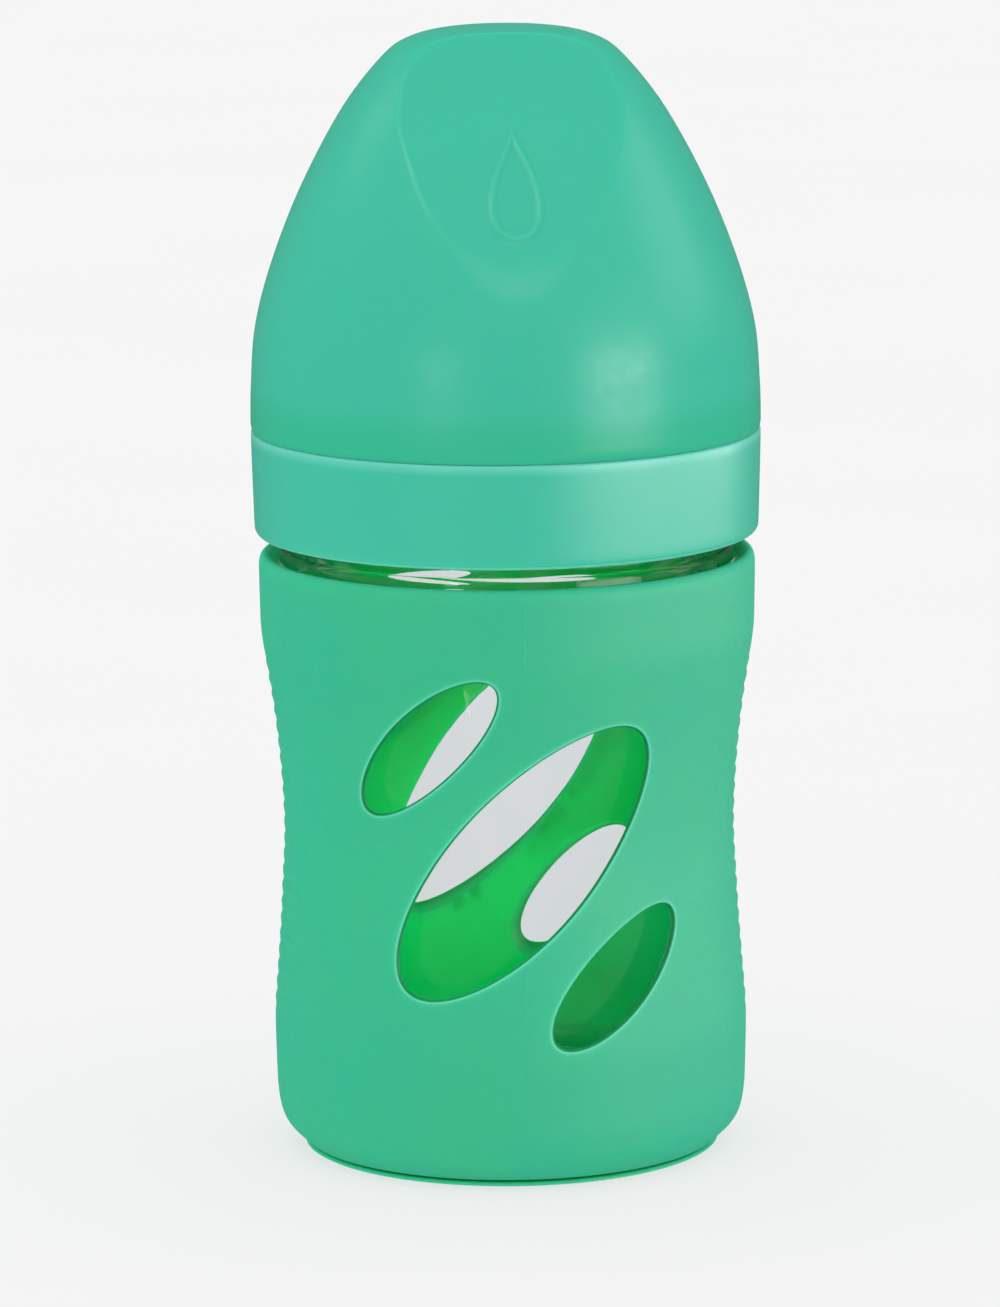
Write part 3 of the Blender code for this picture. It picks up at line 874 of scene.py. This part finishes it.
def teat():
    """Silicone teat with grip rings round the nipple's foot."""
    draft = Draft()
    under, flange_top = TEAT_BOTTOM, TEAT_BOTTOM + TEAT_FLANGE
    side = smooth(TEAT_SIDE, 9)
    bore = TEAT_NECK - TEAT_WALL
    inner = inset(smooth(TEAT_SIDE, 4), TEAT_WALL)[8:]
    inner = [p for p in inner if p[0] > FEED_HOLE and p[1] < side[-1][1] - TEAT_WALL]
    inner.append((FEED_HOLE, side[-1][1] - TEAT_WALL))
    flange = arc((TEAT_FLANGE_RADIUS - 0.4, under + 0.4), 0.4, -90, 0, 4)[1:]
    flange = [(TEAT_FLANGE_RADIUS - 0.4, under), *flange]
    flange += [(TEAT_FLANGE_RADIUS, flange_top - 0.2), (TEAT_FLANGE_RADIUS - 0.2, flange_top)]
    groove = [(TEAT_NECK + 0.2, flange_top), (TEAT_NECK, flange_top + 0.2), (TEAT_NECK, RING_TOP + GAP - 0.2),
              (TEAT_NECK + 0.2, RING_TOP + GAP), (24.6, RING_TOP + GAP), (24.85, RING_TOP + GAP + 0.15),
              (24.97, RING_TOP + GAP + 0.6)]
    outline = flange + groove + side + inner[::-1] + [(bore, 99.5), (bore, under + 0.3), (bore + 0.3, under)]

    def shape(r, z, angles):
        """The side, with fine grip rings near its foot."""
        rings = 0.12 * np.cos(TURN * z / 1.6) * float(ease(101.5, 103, z) * (1 - ease(108.5, 110, z)))
        return r + (rings if r > 18 else 0)
    turned(draft, outline, even(160), shape)
    return draft.object("teat_body", 50)


# ---------------------------------------------------------------- travel cap

DROP_MIDDLE = 132.5
DROP_LENGTH = 12.5
DROP_WIDTH = 8.6
DROP_RELIEF = 0.28


def drop_relief(x, z):
    """Height of a raised droplet outline on the scoop's face, at points (x, z)."""
    t = np.linspace(0, TURN, 240)
    edge_x = DROP_WIDTH / 2 * np.sin(t) * np.sin(t / 2) ** 1.3
    edge_z = DROP_MIDDLE + DROP_LENGTH / 2 * np.cos(t)
    near = (np.abs(x) < DROP_WIDTH) & (np.abs(z - DROP_MIDDLE) < DROP_LENGTH)
    height = np.zeros_like(x)
    if near.any():
        away = np.hypot(x[near][:, None] - edge_x, z[near][:, None] - edge_z).min(axis=1)
        height[near] = DROP_RELIEF * (1 - ease(0.1, 0.55, away))
    return height


def cap_angles():
    """Angles round the cap, closest over the front scoop."""
    front = np.radians(np.arange(-52, 52, 0.5))
    right = np.radians(np.arange(52, 130, 3))
    back = np.radians(np.arange(130, 230, 1.25))
    left = np.radians(np.arange(230, 308, 3))
    return np.concatenate([front, right, back, left])


def travel_cap():
    """Dome cap with a thumb scoop front and back and a raised droplet on the front one."""
    draft = Draft()
    angles = cap_angles()
    facing = np.abs(np.cos(angles))
    front = np.cos(angles) > 0

    def section(r, z, face, blend, relief):
        """One level of the cap: round, with a flat this far from the axis front and back, softly joined."""
        flat = face / np.maximum(facing, 1e-3)
        mix = np.clip(0.5 + 0.5 * (r - flat) / blend, 0, 1)
        cut = r + (flat - r) * mix - blend * mix * (1 - mix)
        points = ring_points(cut, z, angles)
        if relief:
            raised = drop_relief(points[:, 0], np.full(len(cut), z)) * (mix > 0.99) * front
            points[:, 1] -= raised
        return points

    scoop = smooth(SCOOP, 12)
    outer = smooth(CAP_SIDE, 12)
    # rows of points lie closer over the droplet
    levels = [*np.arange(CAP_BOTTOM + 0.9, 126.0, 0.7), *np.arange(126.0, 140.0, 0.22)]
    top = [p for p in outer if p[1] > 140.2]
    outline = [(33.82, CAP_BOTTOM), (33.87, CAP_BOTTOM + 0.05), (33.93, CAP_BOTTOM + 0.2),
               (34.0, CAP_BOTTOM + 0.5)]
    outline += [(float(radius_at(outer, z)), float(z)) for z in levels] + top
    loops = [draft.add(section(r, z, 99.0, 1.0, False)) for r, z in [(33.4, CAP_BOTTOM), (33.6, CAP_BOTTOM)]]
    for r, z in outline:
        if r < 1e-6:
            loops.append(draft.add([(0, 0, z)]))
            continue
        blend = 0.75 - 0.4 * float(ease(119, 127, z))
        # painted shade: a deeper green at the wall's foot, where the ring's upstand stands behind it
        painted_foot_band = 1 - float(ease(UPSTAND_TOP - 1.0, UPSTAND_TOP + 4.0, z))
        points = section(r, z, float(radius_at(scoop, z)), blend, 120 < z < 145)
        loops.append(draft.add(points, deep=painted_foot_band))
    inner = inset(smooth(CAP_SIDE, 5), CAP_WALL)
    inner_scoop = inset(smooth(SCOOP, 6), CAP_WALL)
    inner[0] = (CAP_SIDE[0][0] - CAP_WALL, CAP_BOTTOM + 0.2)
    inner[-1] = (0.0, CAP_TOP - CAP_WALL)
    for r, z in inner[::-1]:
        if r < 1e-6:
            loops.append(draft.add([(0, 0, z)]))
            continue
        loops.append(draft.add(section(r, z, float(radius_at(inner_scoop, z)), 1.2, False)))
    loops.append(draft.add(section(CAP_SIDE[0][0] - CAP_WALL + 0.2, CAP_BOTTOM, 99.0, 1.0, False)))
    for lower, upper in zip(loops, loops[1:] + loops[:1]):
        draft.strip(lower, upper)
    return draft.object("cap_body", 45)


# ---------------------------------------------------------------- studio

ROOM_BRIGHTNESS = 1.07
ROOM_REFLECTED = 0.12
FLOOR_COLOUR = 0.25
FLOOR_BRIGHTNESS = 0.92
FLOOR_HALF = 6.0
FLOOR_DROP = 0.00005  # so that the floor and the foot are never in one plane
LAMP_TARGET = (0, 0, 0.08)


def build(maker, finish, body, slot, *nodes):
    """Makes a piece, gives it its material, and lets it ride on its body in place of its CAD node."""
    made = maker()
    made.data.materials.append(finish)
    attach(made, body)
    if nodes:
        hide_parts(*nodes)
    return made


def floor():
    """A plain square floor, which the pieces' reflections leave out."""
    data = bpy.data.meshes.new("floor")
    corners = [(x * FLOOR_HALF, y * FLOOR_HALF, -FLOOR_DROP) for x, y in ((-1, -1), (1, -1), (1, 1), (-1, 1))]
    data.from_pydata(corners, [], [(0, 1, 2, 3)])
    made = bpy.data.objects.new("floor", data)
    made.data.materials.append(studio_floor())
    made.visible_glossy = False
    bpy.context.scene.collection.objects.link(made)
    return made


def toward(azimuth, elevation):
    """Direction from the bottle, azimuth from the front towards +X."""
    a, e = math.radians(azimuth), math.radians(elevation)
    return Vector((math.sin(a) * math.cos(e), -math.cos(a) * math.cos(e), math.sin(e)))


def grouped(name, pieces):
    """A collection of pieces, for a lamp to light alone."""
    made = bpy.data.collections.new(name)
    for piece in pieces:
        made.objects.link(piece)
    return made


def softbox(lit_pieces, name, azimuth, elevation, distance, width, height, brightness, target=LAMP_TARGET):
    """An area lamp that faces its target from a distance, or shines from there to the back at no distance.

    It lights these pieces alone, so the floor stays evenly white. brightness is its radiance, so it
    doesn't depend on the lamp's size.
    """
    lamp = bpy.data.lights.new(name, "AREA")
    lamp.shape = "RECTANGLE"
    lamp.size, lamp.size_y = width, height
    lamp.energy = brightness * math.pi * width * height
    made = bpy.data.objects.new(name, lamp)
    direction = toward(azimuth, elevation)
    made.location = Vector(target) + direction * distance
    made.rotation_mode = "QUATERNION"
    made.rotation_quaternion = direction.to_track_quat("Z", "Y")
    made.light_linking.receiver_collection = lit_pieces
    bpy.context.scene.collection.objects.link(made)
    return made


def room():
    """A white room, which reflections see as dim, so that the lamps alone make the shine."""
    world = bpy.data.worlds.new("studio")
    world.use_nodes = True
    world.cycles.sampling_method = "NONE"
    tree = world.node_tree
    path = tree.nodes.new("ShaderNodeLightPath")
    # a ray refracted by glass counts as glossy too, but sees the room at its full brightness
    reflected = tree.nodes.new("ShaderNodeMath")
    reflected.operation = "SUBTRACT"
    tree.links.new(path.outputs["Is Glossy Ray"], reflected.inputs[0])
    tree.links.new(path.outputs["Is Transmission Ray"], reflected.inputs[1])
    strength = ranged(tree, reflected.outputs[0], 0, 1, ROOM_BRIGHTNESS, ROOM_REFLECTED)
    tree.links.new(strength, tree.nodes["Background"].inputs["Strength"])
    tree.nodes["Background"].inputs["Color"].default_value = (1, 1, 1, 1)
    bpy.context.scene.world = world


def floor_light(stage):
    """Even light on the floor alone, which nothing shades, so that the bottle's shadow stays faint."""
    only_floor = grouped("only_floor", [stage])
    lamp = bpy.data.lights.new("floor_light", "SUN")
    lamp.energy = math.pi * (FLOOR_BRIGHTNESS / FLOOR_COLOUR - ROOM_BRIGHTNESS)
    made = bpy.data.objects.new("floor_light", lamp)
    made.light_linking.receiver_collection = only_floor
    made.light_linking.blocker_collection = only_floor
    bpy.context.scene.collection.objects.link(made)


def lighting(pieces, stage):
    """An even white room, with soft boxes on the bottle."""
    room()
    bottle = grouped("bottle", pieces)
    # name, azimuth, elevation, distance, width, height, brightness
    for lamp in (("key", 50, 3, 1.2, 0.72, 0.4, 5.6), ("small_front", -33, 7, 1.2, 0.16, 0.14, 9.0),
                 ("right_high", 95, 24, 1.2, 0.7, 0.5, 1.2), ("left_high", -115, 36, 1.2, 0.35, 0.35, 1.0),
                 ("left_edge", -56, 56, 1.2, 0.3, 0.3, 4.0), ("low_edge", 2, 41, 1.2, 0.5, 0.2, 2.5)):
        softbox(bottle, *lamp).visible_diffuse = False
    # a long low strip gives the ring and the sleeve their broad sheen, and leaves out the cap
    below_cap = grouped("below_cap", pieces[:-1])
    softbox(below_cap, "right_low", 70, -5, 0.5, 1.2, 0.07, 7.4).visible_diffuse = False
    softbox(bottle, "back", 180, 25, 1.4, 0.6, 0.8, 2.0).visible_glossy = False
    # the green light that gathers inside the glass, on the sleeve's inner face
    inside = softbox(grouped("sleeve_only", pieces[:1]), "inside", 0, 0, 0, 0.012, 0.044, 7.4, (0, 0, 0.029))
    inside.data.color = (0.01, 1.0, 0.33)
    inside.visible_camera = inside.visible_glossy = inside.visible_transmission = False
    floor_light(stage)


def camera():
    """The photograph's view: a long lens, a little left of the front and ten degrees above."""
    azimuth, elevation, roll, distance = -3.6, 10.43, -0.507, 0.965
    aim_height, aim_across = 0.06664, -0.00103
    back = toward(azimuth, elevation)
    right = Vector((0, 0, 1)).cross(back).normalized()
    up = back.cross(right)
    turn = math.radians(roll)
    rolled_right = right * math.cos(turn) + up * math.sin(turn)
    rolled_up = up * math.cos(turn) - right * math.sin(turn)
    lens = bpy.data.cameras.new("camera")
    lens.lens = 197.7
    lens.sensor_width = 36
    lens.clip_start, lens.clip_end = 0.05, 20
    made = bpy.data.objects.new("camera", lens)
    place = right * aim_across + Vector((0, 0, aim_height)) + back * distance
    made.matrix_world = Matrix((
        (rolled_right.x, rolled_up.x, back.x, place.x),
        (rolled_right.y, rolled_up.y, back.y, place.y),
        (rolled_right.z, rolled_up.z, back.z, place.z),
        (0, 0, 0, 1)))
    bpy.context.scene.collection.objects.link(made)
    bpy.context.scene.camera = made


def main():
    """Camera, floor, pieces and light, then the view transform and the light bounces."""
    camera()
    stage = floor()
    ring = moulded_plastic("ring_plastic", (0.062, 0.585, 0.410), (0.054, 0.575, 0.405), 0.33, 0.002)
    cap = moulded_plastic("cap_plastic", (0.055, 0.570, 0.395), (0.048, 0.560, 0.390), 0.33, 0.0015)
    pieces = [
        build(silicone_sleeve, sleeve_silicone(), "sleeve", "silicone_sleeve", "silicone_sleeve"),
        build(glass_bottle, bottle_glass(), "bottle", "glass", "glass_bottle"),
        build(millilitre_scale, printed_ink(), "bottle", "glass"),
        build(mixing_grid, grid_plastic(), "grid", "grid_plastic", "mixing_grid"),
        build(teat, teat_silicone(), "teat", "teat_silicone", "teat"),
        build(screw_ring, ring, "ring", "ring_plastic", "screw_ring"),
        build(travel_cap, cap, "cap", "cap_plastic", "travel_cap"),
    ]
    lighting(pieces, stage)
    scene = bpy.context.scene
    scene.view_settings.view_transform = "Standard"
    scene.cycles.max_bounces = 16
    scene.cycles.transmission_bounces = 14
    scene.cycles.diffuse_bounces = 6


main()
